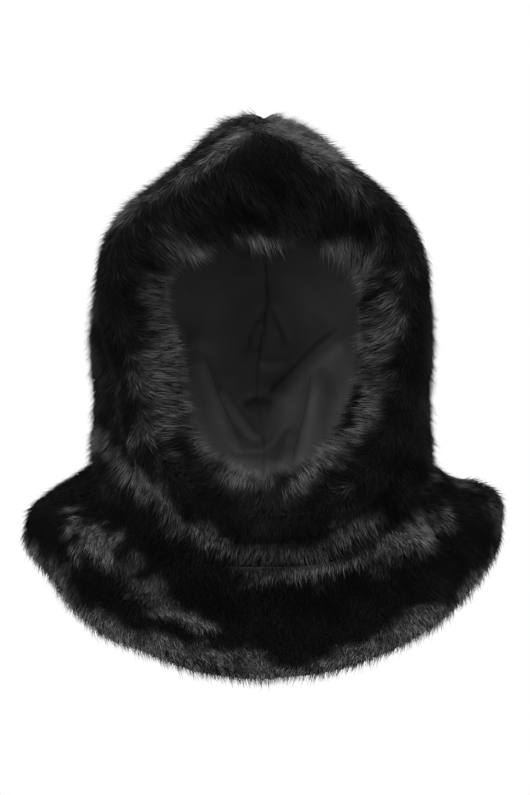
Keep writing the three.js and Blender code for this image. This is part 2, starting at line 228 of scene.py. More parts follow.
FACE_OUTLINE = table(
    "across up",
    (0.04, 1.0), (0.62, 0.98), (0.98, 0.76), (1.03, 0.35), (1.02, -0.02), (0.92, -0.42),
    (0.68, -0.75), (0.36, -0.95), (0.02, -1.0), (-0.36, -0.9), (-0.64, -0.7), (-0.78, -0.4),
    (-0.84, -0.05), (-0.97, 0.35), (-0.97, 0.75), (-0.55, 0.95),
)

BAND_SECTION = table(
    "out fore",
    (-1.0, -0.3), (-0.65, -0.92), (0.15, -1.0), (0.8, -0.65), (1.0, 0.05), (0.8, 0.7),
    (0.32, 1.0), (-0.22, 0.84), (-0.72, 0.38),
)

CAPE_FALL = table(
    "along side_out side_down chest_out chest_down",
    (0.0, 0.0, 0.0, 0.0, 0.0),
    (0.2, 0.32, 0.14, 0.06, 0.22),
    (0.4, 0.63, 0.3, 0.2, 0.44),
    (0.6, 0.87, 0.47, 0.42, 0.65),
    (0.8, 0.98, 0.7, 0.72, 0.84),
    (1.0, 1.0, 1.0, 1.0, 1.0),
)

# turn spread along reach push
CAPE_DENTS = {
    "right_shoulder_fold": (-62, 16, 0.42, 0.22, 0.6),
    "right_chest_hollow": (-36, 11, 0.35, 0.3, -0.6),
    "right_chest_ridge": (-30, 9, 0.72, 0.18, 0.7),
    "right_hem_tuck": (-66, 11, 0.95, 0.3, -0.5),
    "right_hem_wave": (-38, 10, 1.0, 0.25, 0.5),
    "chest_hollow": (8, 20, 0.5, 0.3, -0.45),
    "left_chest_ridge": (42, 11, 0.22, 0.2, 0.8),
    "left_shoulder_crease": (60, 5, 0.3, 0.25, -0.7),
    "left_shoulder_fold": (84, 16, 0.5, 0.25, 0.8),
    "left_hem_wave": (40, 12, 1.0, 0.25, 0.5),
    "back_fold_left": (140, 12, 0.7, 0.4, 0.6),
    "back_fold_right": (-145, 12, 0.7, 0.4, 0.6),
    "back_hollow": (180, 16, 0.6, 0.4, -0.4),
}

# from_across from_up to_across to_up width height
LINING_FOLDS = {
    "right_drape": (-0.7, 0.1, -0.28, -0.84, 0.9, 0.8),
    "right_inner_drape": (-0.36, -0.2, -0.04, -0.62, 0.8, 0.4),
    "left_drape": (0.98, 0.12, 0.34, -0.4, 1.1, 0.8),
    "left_pleat": (0.62, -0.35, 0.4, -0.95, 0.9, 0.6),
    "nape_swag": (-0.28, -0.88, 0.12, -0.88, 0.9, 0.7),
    "seam_pucker": (0.08, 0.4, 0.08, 0.0, 1.1, 0.3),
}

# Sharp creases of the lining: a route through the photograph's pixels, the height in millimetres,
# and the breadth in pixels on the left and on the right of somebody who walks along it.
LINING_CREASES = {
    "right_drape": (((195, 345), (206, 374), (219, 408), (231, 436), (240, 452)), 7, 2.5, 13),
    "right_inner": (((217, 382), (229, 404), (244, 424), (260, 442)), 4.5, 3, 8),
    "swag": (((225, 432), (237, 450), (260, 449), (272, 444), (284, 427), (297, 417)), 3.5, 5, 3),
    "left_drape": (((352, 330), (326, 350), (306, 370), (288, 388), (272, 404)), 9, 22, 6),
    "left_pleat": (((318, 364), (314, 392), (308, 422), (300, 452), (297, 466)), 7, 13, 2.5),
    "left_pleat_low": (((292, 430), (285, 452), (277, 468)), 4.5, 8, 2.5),
    "pocket_right": (((268, 302), (258, 320), (250, 336), (247, 356)), -2.5, 2.5, 6),
    "pocket_left": (((270, 302), (277, 320), (284, 335), (288, 346)), -2.5, 6, 2.5),
    "pocket_fold": (((266, 325), (261, 338), (260, 352)), -3, 2, 5),
    "cross_seam": (((257, 361), (272, 363), (288, 361)), 2, 2, 9),
    "gather": (((238, 406), (256, 399), (276, 402)), -4, 6, 4),
}
MIDDLE_SEAM = (
    (264, 200), (265, 250), (268, 300), (264, 330), (258, 362), (256, 400), (263, 440),
    (262, 500),
)

# These marks paint highlights on the fur and its backing, and turn and lift the fur's hair.
# Brushed marks of the fur, in the photograph's pixels: across down length breadth tilt strength
HOOD_MARKS = {
    "right_cheek": (160, 375, 62, 24, 88, 0.42),
    "right_temple": (158, 292, 42, 18, 85, 0.26),
    "right_jaw": (190, 440, 36, 9, -48, 0.3),
    "right_chin": (238, 480, 28, 13, -10, 0.38),
    "left_chin": (322, 470, 44, 9, 46, 0.55),
    "left_jaw": (373, 412, 46, 9, 68, 0.55),
    "left_cheek": (385, 330, 60, 14, 84, 0.45),
    "left_temple": (368, 262, 30, 18, 70, 0.35),
    "left_brow": (335, 240, 24, 11, 5, 0.5),
    "middle_brow": (268, 236, 32, 11, -15, 0.7),
    "right_brow": (200, 248, 34, 13, -18, 0.6),
    "jaw_ridge_right": (138, 472, 58, 9, -46, 0.5),
    "jaw_ridge_low": (213, 534, 42, 9, -24, 0.5),
    "chin_roll": (290, 548, 46, 7, 0, 0.35),
    "chin_roll_left": (345, 528, 42, 11, 24, 0.4),
    "crown_left": (312, 152, 50, 10, -38, 0.36),
    "crown_peak": (278, 130, 24, 9, -15, 0.4),
    "crown_right": (214, 160, 52, 7, 33, 0.4),
    "crest": (243, 134, 22, 5, 30, 0.35),
    "back_corner": (222, 126, 16, 7, 10, 0.2),
    "right_shoulder": (130, 212, 22, 9, 50, 0.25),
}
CAPE_MARKS = {
    "collar_right": (245, 562, 50, 5, -14, 0.5),
    "collar_left": (330, 562, 60, 5, 12, 0.5),
    "right_shoulder": (95, 536, 21, 18, -60, 0.85),
    "right_edge": (64, 580, 22, 9, -55, 0.35),
    "right_chest": (150, 586, 30, 14, -50, 0.4),
    "right_chest_ridge": (184, 615, 26, 6, -18, 0.8),
    "right_hem": (104, 625, 26, 12, -50, 0.6),
    "hem_right": (180, 646, 80, 12, -11, 0.7),
    "hem_left": (362, 652, 62, 10, 13, 0.6),
    "left_hem_corner": (414, 622, 30, 14, 25, 0.6),
    "left_edge": (465, 596, 34, 9, 52, 0.45),
    "left_chest": (404, 533, 34, 18, 35, 0.65),
    "left_shoulder_fold": (444, 517, 16, 6, -75, 0.4),
    "left_shoulder": (446, 468, 20, 8, -38, 0.3),
    "left_point": (492, 512, 20, 10, -60, 0.2),
    "left_neck": (415, 481, 14, 8, 40, 0.25),
}

# Surfaces, in millimetres.


def read(rows, key, column, at):
    """A column of a table at any place between its rows, on a smooth curve through them."""
    x, y = rows[key], rows[column]
    at = np.clip(at, x[0], x[-1])
    i = np.clip(np.searchsorted(x, at, side="right") - 1, 0, len(x) - 2)
    order = np.arange(len(x))
    before, after = np.maximum(order - 1, 0), np.minimum(order + 1, len(x) - 1)
    slope = (y[after] - y[before]) / (x[after] - x[before])
    span = x[i + 1] - x[i]
    t = (at - x[i]) / span
    ease = t * t * (3 - 2 * t)
    bend = t * (1 - t) ** 2 * span * slope[i] + t * t * (t - 1) * span * slope[i + 1]
    return y[i] + ease * (y[i + 1] - y[i]) + bend


def smooth_step(x, low, high):
    t = np.clip((x - low) / (high - low), 0, 1)
    return t * t * (3 - 2 * t)


def mix(a, b, t):
    return a + (b - a) * t


def unit(v):
    return v / np.maximum(np.linalg.norm(v, axis=-1, keepdims=True), 1e-9)


def joined(*parts):
    """Points from their coordinates."""
    return np.stack(np.broadcast_arrays(*parts), axis=-1)


def signed_power(value, power):
    return np.sign(value) * np.abs(value) ** power


def fading(distance, reach):
    return np.exp(-((distance / reach) ** 2))


def seam_height(angle):
    ahead = np.cos(angle)
    front, back = np.maximum(ahead, 0), np.minimum(ahead, 0)
    return EAR_SEAM - CHIN_DROP * front**1.5 - NAPE_DROP * back**2


def hood_section(z):
    rise = (z - EAR_SEAM) / HOOD_HEIGHT
    half, front, back, front_power, back_power = (
        read(HOOD_SECTIONS, "rise", column, rise) for column in HOOD_SECTIONS if column != "rise"
    )
    return half * HOOD_WIDTH / 2, front * HOOD_DEPTH, back * HOOD_DEPTH, front_power, back_power


def hood_front_at(x, z):
    half, front, _, power, _ = hood_section(z)
    share = np.minimum(np.abs(x) / half, 0.95)
    return front * (1 - share**power) ** (1 / power)


def hood_dent(point):
    push = np.zeros(point.shape[:-1])
    for across, along, rise, reach, depth in HOOD_DENTS.values():
        level = EAR_SEAM + rise * HOOD_HEIGHT
        centre = [across * HOOD_WIDTH / 2, along * HOOD_DEPTH, level]
        apart = np.linalg.norm(point - centre, axis=-1)
        push += depth * FUR * fading(apart, reach * HOOD_DEPTH)
    return push


def hood_point(angle, share, inside):
    """A point of the hood, that many millimetres inside the fur's outer surface."""
    seam = seam_height(angle)
    z = seam + share * (CROWN_TOP - seam)
    half, front, back, front_power, back_power = hood_section(z)
    ahead = np.cos(angle)
    depth = np.where(ahead > 0, front, back)
    power = np.where(ahead > 0, front_power, back_power)
    x = half * signed_power(np.sin(angle), 2 / power)
    y = -depth * signed_power(ahead, 2 / power)
    point = joined(x, y, z)
    core_level = np.minimum(z, CROWN_TOP - CORE_DROP * HOOD_HEIGHT)
    core = joined(0, y * CORE_DEPTH, core_level)
    follow = 1 - DENT_LOSS * inside / LINING_DEPTH
    push = inside - follow * hood_dent(point)
    return point + unit(core - point) * push[..., None]


def closed_curve(rows, steps):
    """Evenly spread points on a smooth closed curve through a table's rows."""
    knots = joined(*rows.values())
    t = np.linspace(0, 1, 24, endpoint=False)[:, None]
    pieces = []
    for i in range(len(knots)):
        a, b, c, d = (knots[(i + k) % len(knots)] for k in (-1, 0, 1, 2))
        bend, twist = 2 * a - 5 * b + 4 * c - d, 3 * b - a - 3 * c + d
        pieces.append(0.5 * (2 * b + (c - a) * t + bend * t**2 + twist * t**3))
    path = np.concatenate(pieces + [pieces[0][:1]])
    length = np.concatenate([[0], np.cumsum(np.linalg.norm(np.diff(path, axis=0), axis=1))])
    at = np.linspace(0, length[-1], steps, endpoint=False)
    return joined(*(np.interp(at, length, path[:, k]) for k in (0, 1)))


def face_outline(steps, outset):
    """Points (x, z) round the face opening, that far out from its edge, and the way out at each."""
    edge = closed_curve(FACE_OUTLINE, steps) * [FACE_WIDTH / 2, FACE_HEIGHT / 2]
    edge[:, 1] += FACE_MIDDLE
    along = unit(np.roll(edge, -1, axis=0) - np.roll(edge, 1, axis=0))
    out = joined(-along[:, 1], along[:, 0])
    return edge + out * outset, out


def band_surface(steps, columns, grow):
    """The folded band's surface, steps along it by columns round it, and its section at each step.
    It is broader over the brow, where it rises to a peak in front of the crown. grow makes the
    section thicker, in millimetres."""
    edge, out = face_outline(steps, 0)
    over_face = smooth_step(edge[:, 1], FACE_MIDDLE, FACE_MIDDLE + FACE_HEIGHT / 2)
    breadth = BAND_BREADTH + BROW_RISE * over_face * fading(edge[:, 0], BROW_SPREAD)
    path = edge + out * breadth[:, None] / 2
    even = closed_curve(BAND_SECTION, columns) * [BAND_BREADTH / 2, BAND_DEPTH / 2]
    section = even[None] * joined(breadth / BAND_BREADTH, 1)[:, None]
    reach = np.linalg.norm(section, axis=-1, keepdims=True)
    section = section * (reach + grow) / reach
    middle = BAND_SINK - hood_front_at(path[:, 0], path[:, 1])
    x = path[:, None, 0] + out[:, None, 0] * section[..., 0]
    z = path[:, None, 1] + out[:, None, 1] * section[..., 0]
    y = middle[:, None] - section[..., 1]
    return joined(x, y, z), section


def cape_dent(angle, along):
    push = np.zeros(np.broadcast(angle, along).shape)
    for turn, spread, centre, reach, depth in CAPE_DENTS.values():
        apart = (angle - math.radians(turn) + math.pi) % (2 * math.pi) - math.pi
        push += depth * FUR * fading(apart, math.radians(spread)) * fading(along - centre, reach)
    return push


def cape_surface(angle, along):
    ahead = np.cos(angle)
    seam = hood_point(angle, 0, 0)
    seam[..., 2] -= CLEARANCE
    reach = np.where(ahead > 0, CAPE_FRONT, CAPE_BACK)
    drop = np.where(ahead > 0, CAPE_FRONT_DROP, CAPE_BACK_DROP)
    level = EAR_SEAM - CAPE_SIDE_DROP - (drop - CAPE_SIDE_DROP) * np.abs(ahead) ** 1.2
    hem = joined(np.sin(angle) * CAPE_WIDTH / 2, -ahead * reach, level)
    side = np.sin(angle) ** 2
    out, down = (
        mix(*(read(CAPE_FALL, "along", part + way, along) for part in ("chest_", "side_")), side)
        for way in ("out", "down")
    )
    return seam + (hem - seam) * joined(out, out, down)


def cape_point(angle, along, inside):
    """A point of the cape, that many millimetres inside the fur's outer surface. At the neck seam
    it goes in as the hood does."""
    step = 0.01
    turned = cape_surface(angle + step, along) - cape_surface(angle - step, along)
    lower, upper = np.minimum(along + step, 1), np.maximum(along - step, 0)
    fallen = cape_surface(angle, lower) - cape_surface(angle, upper)
    inward = -unit(np.cross(fallen, turned))
    level = unit(hood_point(angle, 0, 1) - hood_point(angle, 0, 0))
    leave = smooth_step(along, 0, 0.3)
    way = unit(mix(level, inward, leave[..., None]))
    return cape_surface(angle, along) + way * (inside - leave * cape_dent(angle, along))[..., None]


def inside_outline(x, z, outline):
    """True where a point (x, z) lies inside a closed outline."""
    inside = np.zeros(np.shape(x), bool)
    for (ax, az), (bx, bz) in zip(outline, np.roll(outline, -1, axis=0)):
        crosses = (az > z) != (bz > z)
        inside ^= crosses & (x < (bx - ax) * (z - az) / (bz - az + 1e-12) + ax)
    return inside


# Meshes.


def grid_mesh(name, points, wrap_rows=False, wrap_columns=False, drop=None):
    """A mesh over a grid of points in millimetres, and the points that it uses. drop marks faces to
    leave out, by their middles."""
    rows, columns = points.shape[:2]
    index = np.arange(rows * columns).reshape(rows, columns)
    if wrap_rows:
        index = np.concatenate([index, index[:1]])
    if wrap_columns:
        index = np.concatenate([index, index[:, :1]], axis=1)
    corners = [index[:-1, :-1], index[:-1, 1:], index[1:, 1:], index[1:, :-1]]
    faces = joined(*corners).reshape(-1, 4)
    flat = points.reshape(-1, 3)
    if drop is not None:
        faces = faces[~drop(flat[faces].mean(axis=1))]
    mesh = bpy.data.meshes.new(name)
    used, packed = np.unique(faces, return_inverse=True)
    mesh.from_pydata((flat[used] * MM).tolist(), [], packed.reshape(-1, 4).tolist())
    mesh.validate()
    mesh.update()
    piece = bpy.data.objects.new(name, mesh)
    bpy.context.scene.collection.objects.link(piece)
    return piece, used


def carry(piece, used, **values):
    """Stores values of the grid's points on the mesh, as attributes."""
    for name, value in values.items():
        value = np.asarray(value, np.float32)
        vectors = value.ndim == 3
        kind, key = ("FLOAT_VECTOR", "vector") if vectors else ("FLOAT", "value")
        attribute = piece.data.attributes.new(name, kind, "POINT")
        flat = value.reshape(-1, 3) if vectors else value.reshape(-1)
        attribute.data.foreach_set(key, flat[used].ravel())


def settle(piece):
    """Turns a piece's modifiers into its plain mesh."""
    graph = bpy.context.evaluated_depsgraph_get()
    graph.update()
    mesh = bpy.data.meshes.new_from_object(piece.evaluated_get(graph))
    piece.modifiers.clear()
    piece.data = mesh


def thicken(piece, thickness):
    """Makes a cloth a wall that lies inside it, and tells the area that it had."""
    area = sum(face.area for face in piece.data.polygons)
    wall = piece.modifiers.new("wall", "SOLIDIFY")
    wall.thickness = thickness * MM
    wall.offset = -1
    wall.use_even_offset = False
    settle(piece)
    return area


# The looks of each cloth.


def fill(tree, node, inputs):
    """Sets a node's inputs to values, or joins them to other nodes."""
    for key, value in inputs.items():
        if isinstance(value, bpy.types.NodeSocket):
            tree.links.new(value, node.inputs[key])
        else:
            node.inputs[key].default_value = value


def put(tree, kind, inputs, **settings):
    """A new node with its settings and inputs."""
    node = tree.nodes.new(kind)
    for name, value in settings.items():
        setattr(node, name, value)
    fill(tree, node, inputs)
    return node


def new_material(name, colour, roughness, specular):
    material = bpy.data.materials.new(name)
    material.use_nodes = True
    tree = material.node_tree
    shader = tree.nodes["Principled BSDF"]
    inputs = {"Base Color": colour, "Roughness": roughness, "Specular IOR Level": specular}
    fill(tree, shader, inputs)
    return material, tree, shader


def blend_colours(tree, share, first, second):
    inputs = {0: share, "A": first, "B": second}
    return put(tree, "ShaderNodeMix", inputs, data_type="RGBA").outputs["Result"]


def held_value(tree, name):
    return put(tree, "ShaderNodeAttribute", {}, attribute_name=name).outputs["Fac"]


def object_place(tree):
    return put(tree, "ShaderNodeTexCoord", {}).outputs["Object"]


def noise(tree, place, scale, detail):
    inputs = {"Vector": place, "Scale": scale, "Detail": detail}
    return put(tree, "ShaderNodeTexNoise", inputs).outputs["Fac"]


def ranged(tree, value, low, high, full=1.0):
    """Spreads a value that goes from 0 to full between low and high."""
    inputs = {"Value": value, "From Max": full, "To Min": low, "To Max": high}
    return put(tree, "ShaderNodeMapRange", inputs).outputs["Result"]


def product(tree, a, b):
    settings = {"operation": "MULTIPLY", "use_clamp": True}
    return put(tree, "ShaderNodeMath", {0: a, 1: b}, **settings).outputs[0]


def bump(tree, height, strength, distance):
    inputs = {"Height": height, "Strength": strength, "Distance": distance}
    return put(tree, "ShaderNodeBump", inputs).outputs["Normal"]


def strand_material():
    """Black hair with dark roots and a grey painted highlight, where the marks catch the light."""
    material, tree, shader = new_material("fur_strand", HAIR_BLACK, 0.42, 0.09)
    streak = ranged(tree, held_value(tree, "tone"), -0.15, 2.15)
    shine = product(tree, held_value(tree, "gleam"), streak)
    hair = blend_colours(tree, shine, HAIR_BLACK, HAIR_LIT)
    rooted = ranged(tree, held_value(tree, "along"), 0.0, 1.0, full=0.45)
    colour = blend_colours(tree, rooted, HAIR_ROOT, hair)
    fill(tree, shader, {"Base Color": colour, "Roughness": ranged(tree, shine, 0.5, 0.34)})
    return material


def backing_material():
    """The fur's knitted ground, with a painted grey highlight under the marks of the fur over it.
    """
    material, tree, shader = new_material("fur_backing", BACKING_BLACK, 0.95, 0.1)
    place = object_place(tree)
    knit = put(tree, "ShaderNodeTexVoronoi", {"Vector": place, "Scale": 900.0}).outputs["Distance"]
    black = blend_colours(tree, noise(tree, place, 40.0, 3.0), BACKING_BLACK, BACKING_WORN)
    lit = blend_colours(tree, held_value(tree, "gleam"), black, BACKING_LIT)
    fill(tree, shader, {"Base Color": lit, "Normal": bump(tree, knit, 0.4, 0.0006)})
    return material


def jersey_material():
    """Fine black jersey: wales, rows of loops and a slightly mottled dye, with painted light that
    makes it paler low down and on its crests, and painted shade that darkens its creases."""
    material, tree, shader = new_material("jersey", JERSEY_DARK, 0.85, 0.25)
    place = object_place(tree)
    ribs = {"Vector": place, "Scale": 330.0, "Distortion": 1.2, "Detail": 1.0}
    wales = put(tree, "ShaderNodeTexWave", ribs, bands_direction="X").outputs["Fac"]
    normal = bump(tree, product(tree, wales, noise(tree, place, 900.0, 2.0)), 0.6, 0.0005)
    dyed = blend_colours(tree, noise(tree, place, 60.0, 4.0), JERSEY_DARK, JERSEY_PALE)
    rubbed = blend_colours(tree, held_value(tree, "rubbed"), dyed, JERSEY_PAINTED_LIT)
    # Painted shade in the creases and round the opening, and the seam's dark line.
    crease = product(tree, held_value(tree, "crease"), 0.8)
    colour = blend_colours(tree, crease, rubbed, JERSEY_SHADE_AND_SEAM)
    fill(tree, shader, {"Base Color": colour, "Normal": normal, "Sheen Weight": 0.15})
    return material


STRAND = strand_material()
BACKING_CLOTH = backing_material()
JERSEY = jersey_material()

# The pile.

# Each use of chance has its own seed, counted from these.
LOCK_SEED = 40
LOCK_TONE_SEED = 60
UNDERFUR_SEED = 100
GUARD_SEED = 200


def pile_tree():
    """Grows the pile on a cloth, where cover says how densely. Each point's lay is the way that its
    hair leans along the cloth, lift how far it stands up, and pile its length against the rest."""
    tree = bpy.data.node_groups.new("grow_pile", "GeometryNodeTree")

    def offer(name, kind, in_out="INPUT"):
        return tree.interface.new_socket(name, in_out=in_out, socket_type=f"NodeSocket{kind}")

    offer("Cloth", "Geometry")
    numbers = {
        "Underfur density": 200000.0,
        "Guard density": 60000.0,
        "Guard share": 1.4,
        "Length": 0.0122,
        "Underfur share": 0.85,
        "Thickness": 0.00026,
        "Bow": 0.07,
        "Stray": 0.2,
        "Lock spacing": 0.0042,
        "Lock pull": 0.42,
        "Seed": 1,
    }
    for name, value in numbers.items():
        offer(name, "Int" if name == "Seed" else "Float").default_value = value
    offer("Strand finish", "Material")
    offer("Pile", "Geometry", "OUTPUT")
    given = tree.nodes.new("NodeGroupInput").outputs

    def made(kind, inputs, **settings):
        return put(tree, kind, inputs, **settings).outputs[0]

    def maths(operation, a, b=0.0):
        return made("ShaderNodeMath", {0: a, 1: b}, operation=operation)

    def times(a, b):
        return maths("MULTIPLY", a, b)

    def vectors(operation, a, b=(0, 0, 0)):
        return made("ShaderNodeVectorMath", {0: a, 1: b}, operation=operation)

    def scaled(vector, scale):
        return made("ShaderNodeVectorMath", {0: vector, "Scale": scale}, operation="SCALE")

    def vector_of(x, y, z):
        return made("ShaderNodeCombineXYZ", {0: x, 1: y, 2: z})

    def held(name, kind="FLOAT"):
        node = put(tree, "GeometryNodeInputNamedAttribute", {"Name": name}, data_type=kind)
        return node.outputs["Attribute"]

    def store(geometry, name, value, kind="FLOAT"):
        inputs = {"Geometry": geometry, "Name": name, "Value": value}
        return made("GeometryNodeStoreNamedAttribute", inputs, data_type=kind, domain="POINT")

    def seeded(node, seed):
        fill(tree, node, {"Seed": maths("ADD", given["Seed"], seed)})
        return node.outputs

    def chance(low, high, seed):
        node = put(tree, "FunctionNodeRandomValue", {2: low, 3: high}, data_type="FLOAT")
        return seeded(node, seed)[1]

    def stray(size, seed):
        corners = {0: (-1, -1, -1), 1: (1, 1, 1)}
        node = put(tree, "FunctionNodeRandomValue", corners, data_type="FLOAT_VECTOR")
        return scaled(seeded(node, seed)[0], size)

    place = made("GeometryNodeInputPosition", {})

    def rooted(density, length, seed):
        """Points on the cloth that know their normal and the way and length of their hair."""
        inputs = {"Mesh": given["Cloth"], "Density": times(density, held("cover"))}
        spread = seeded(put(tree, "GeometryNodeDistributePointsOnFaces", inputs), seed)
        points = store(spread["Points"], "up", spread["Normal"], "FLOAT_VECTOR")
        lift = held("lift")
        flat = maths("SQRT", maths("SUBTRACT", 1.0, times(lift, lift)))
        leaning = scaled(held("lay", "FLOAT_VECTOR"), flat)
        way = vectors("ADD", leaning, scaled(held("up", "FLOAT_VECTOR"), lift))
        way = vectors("ADD", way, stray(given["Stray"], seed + 1))
        size = times(times(length, held("pile")), chance(0.72, 1.12, seed + 2))
        return store(points, "reach", scaled(vectors("NORMALIZE", way), size), "FLOAT_VECTOR")

    def tip_of():
        return vectors("ADD", place, held("reach", "FLOAT_VECTOR"))

    spacing = times(given["Lock spacing"], given["Lock spacing"])
    locks = rooted(maths("DIVIDE", 1.0, spacing), given["Length"], LOCK_SEED)

    def strand(segments):
        """One hair, a unit wide and long, with its root at the origin."""
        sides = {"Vertices": 3, "Side Segments": segments}
        sizes = {"Radius Top": 0.0, "Radius Bottom": 1.0, "Depth": 1.0}
        cone = made("GeometryNodeMeshCone", {**sides, **sizes})
        x, y, z = put(tree, "ShaderNodeSeparateXYZ", {0: place}).outputs
        rounded = maths("ADD", 1.0, z)
        arch = times(times(z, maths("SUBTRACT", 1.0, z)), 4.0)
        # The bow is a share of the hair's length, so it is divided by the width that scales it.
        share = maths("DIVIDE", times(given["Bow"], given["Length"]), given["Thickness"])
        bowed = maths("ADD", times(x, rounded), times(arch, share))
        shape = vector_of(bowed, times(y, rounded), z)
        inputs = {"Geometry": store(cone, "along", z), "Position": shape}
        return made("GeometryNodeSetPosition", inputs)

    def grow(kind, segments, slimness, seed):
        """Hairs of one kind, each drawn towards the tip of the nearest lock."""
        length = times(given["Length"], given[f"{kind} share"])
        points = rooted(given[f"{kind} density"], length, seed)
        nearest = {"Geometry": locks, "Sample Position": place}
        near = made("GeometryNodeSampleNearest", nearest, domain="POINT")

        def of_lock(value, kind):
            inputs = {"Geometry": locks, "Value": value, "Index": near}
            return made("GeometryNodeSampleIndex", inputs, data_type=kind, domain="POINT")

        own = tip_of()
        away = vectors("SUBTRACT", of_lock(tip_of(), "FLOAT_VECTOR"), own)
        pull = times(given["Lock pull"], chance(0.3, 1.0, seed + 5))
        reach = vectors("SUBTRACT", vectors("ADD", own, scaled(away, pull)), place)
        size = put(tree, "ShaderNodeVectorMath", {0: reach}, operation="LENGTH").outputs["Value"]
        lock_tone = of_lock(chance(0.0, 1.0, LOCK_TONE_SEED), "FLOAT")
        tone = times(maths("ADD", lock_tone, chance(0.0, 1.0, seed + 6)), 0.5)
        points = store(points, "tone", tone)
        turned = made("FunctionNodeAlignRotationToVector", {"Vector": reach}, axis="Z")
        upright = {"Rotation": turned, "Vector": held("up", "FLOAT_VECTOR")}
        turned = made("FunctionNodeAlignRotationToVector", upright, axis="X", pivot_axis="Z")
        width = times(times(given["Thickness"], slimness), chance(0.75, 1.25, seed + 7))
        hairs = {"Points": points, "Instance": strand(segments), "Rotation": turned}
        hairs["Scale"] = vector_of(width, width, size)
        return made("GeometryNodeInstanceOnPoints", hairs)

    both = tree.nodes.new("GeometryNodeJoinGeometry")
    for hairs in (grow("Underfur", 1, 1.0, UNDERFUR_SEED), grow("Guard", 2, 0.85, GUARD_SEED)):
        tree.links.new(hairs, both.inputs[0])
    pile = made("GeometryNodeRealizeInstances", {"Geometry": both.outputs[0]})
    for name in ("up", "reach", "lay", "lift", "pile", "cover"):
        pile = made("GeometryNodeRemoveAttribute", {"Geometry": pile, "Name": name})
    pile = made("GeometryNodeSetShadeSmooth", {"Geometry": pile, "Shade Smooth": True})
    finish = {"Geometry": pile, "Material": given["Strand finish"]}
    fill(tree, tree.nodes.new("NodeGroupOutput"), {0: made("GeometryNodeSetMaterial", finish)})
    return tree


GROW_PILE = pile_tree()


def covered_area(cloth):
    """The area that hair is spread over, where a face that is half covered counts half."""
    cover = np.zeros(len(cloth.data.vertices))
    cloth.data.attributes["cover"].data.foreach_get("value", cover)
    return sum(face.area * cover[list(face.vertices)].mean() for face in cloth.data.polygons)


def grow_pile(cloth, name, node):
    """The pile of a cloth as a piece of its own. The cloth is only there to grow it on."""
    underfur, guard, seed = HAIRS[name]
    area = covered_area(cloth)
    values = {
        "Underfur density": underfur / area,
        "Guard density": guard / area,
        "Strand finish": STRAND,
        "Seed": seed,
    }
    modifier = cloth.modifiers.new("pile", "NODES")
    modifier.node_group = GROW_PILE
    for item in GROW_PILE.interface.items_tree:
        if item.in_out == "INPUT" and item.name in values:
            modifier[item.identifier] = values[item.name]
    cloth.name = name
    settle(cloth)
    finish_piece(cloth, STRAND, "fur", node)
    return cloth


def directions(points, closed=False):
    """Unit vectors up a grid's rows, and the normal."""

    def along(axis):
        if closed:
            return unit(np.roll(points, -1, axis=axis) - np.roll(points, 1, axis=axis))
        return unit(np.gradient(points, axis=axis))

    up = along(0)
    return up, unit(np.cross(up, along(1)))


def combed(way, normal):
    """A way to comb, laid flat on the cloth."""
    return unit(way - normal * np.sum(way * normal, axis=-1, keepdims=True))


def drift(points, size, seed):
    """Smooth noise from -1 to 1, with features of about that size in millimetres."""
    chance = np.random.default_rng(seed)
    total = np.zeros(points.shape[:-1])
    for _ in range(12):
        way = unit(chance.normal(size=3)) * chance.uniform(0.6, 1.6) * math.pi / size
        total += np.sin(points @ way + chance.uniform(0, 2 * math.pi))
    return np.clip(total / 3.5, -1, 1)


def brushed_and_lit(points, marks):
    """How far each point lies in the brushed marks, as they are seen from the front, from 0 to 1.
    Their edges are ragged. The marks are painted highlights as well as a turn of the hair."""
    sizes = ((0.7, 18, 5), (0.6, 8, 6), (0.4, 5, 11))
    ragged = sum(share * drift(points, size, seed) for share, size, seed in sizes)
    most = np.zeros(points.shape[:-1])
    for across, down, length, breadth, tilt, strength in marks.values():
        middle_x, middle_z = from_photo(across, down)
        dx, dz = points[..., 0] - middle_x, points[..., 2] - middle_z
        cos, sin = math.cos(math.radians(tilt)), math.sin(math.radians(tilt))
        along = (dx * cos + dz * sin) / (length * PHOTO_SCALE)
        off = (dz * cos - dx * sin) / (breadth * PHOTO_SCALE)
        inside = 1 - smooth_step(np.hypot(along, off) + 0.5 * ragged, 0.3, 1.5)
        most = np.maximum(most, strength * inside)
    return most * smooth_step(-points[..., 1], -30, 0)


def groom(piece, used, points, lay, normal, lift, mark, base_sheen, sideways, **more):
    """Stores how a cloth's hair lies, and its painted highlight. Brushed marks turn it sideways,
    outwards from the middle, stand it up and paint it grey, over a faint painted sheen that it has
    without any."""
    across = combed(np.cross(normal, lay), normal)
    turned = sideways * mark * np.tanh(points[..., 0] / 30)
    swirl = 0.2 * drift(points, 26, 3) + 0.12 * drift(points, 9, 7) + turned
    lay = combed(lay + across * swirl[..., None], normal)
    lift = np.clip(lift + 0.1 * drift(points, 18, 4) + 0.15 * mark, *LIFT_RANGE)
    # The painted highlight: a faint painted sheen everywhere, and the marks.
    gleam = np.clip(base_sheen * (1 + 0.9 * drift(points, 20, 8)) + mark, 0, 1)
    values = {"pile": np.ones(lift.shape), "cover": np.ones(lift.shape), **more}
    carry(piece, used, lay=lay, lift=lift, gleam=gleam, **values)


def finish_piece(piece, material, slot, *nodes):
    piece.data.materials.clear()
    piece.data.materials.append(material)
    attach(piece, "root")
    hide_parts(*nodes)


def side_name(side):
    return "left" if side > 0 else "right"


# Hood.


def crownwards(rows):
    """Shares of the way from neck seam to crown, closer together towards the crown."""
    return 0.999 * (1 - (1 - np.linspace(0, 1, rows)) ** 1.35)


def half_turn(side, columns):
    return np.linspace(0, math.pi, columns) + (0 if side > 0 else math.pi)


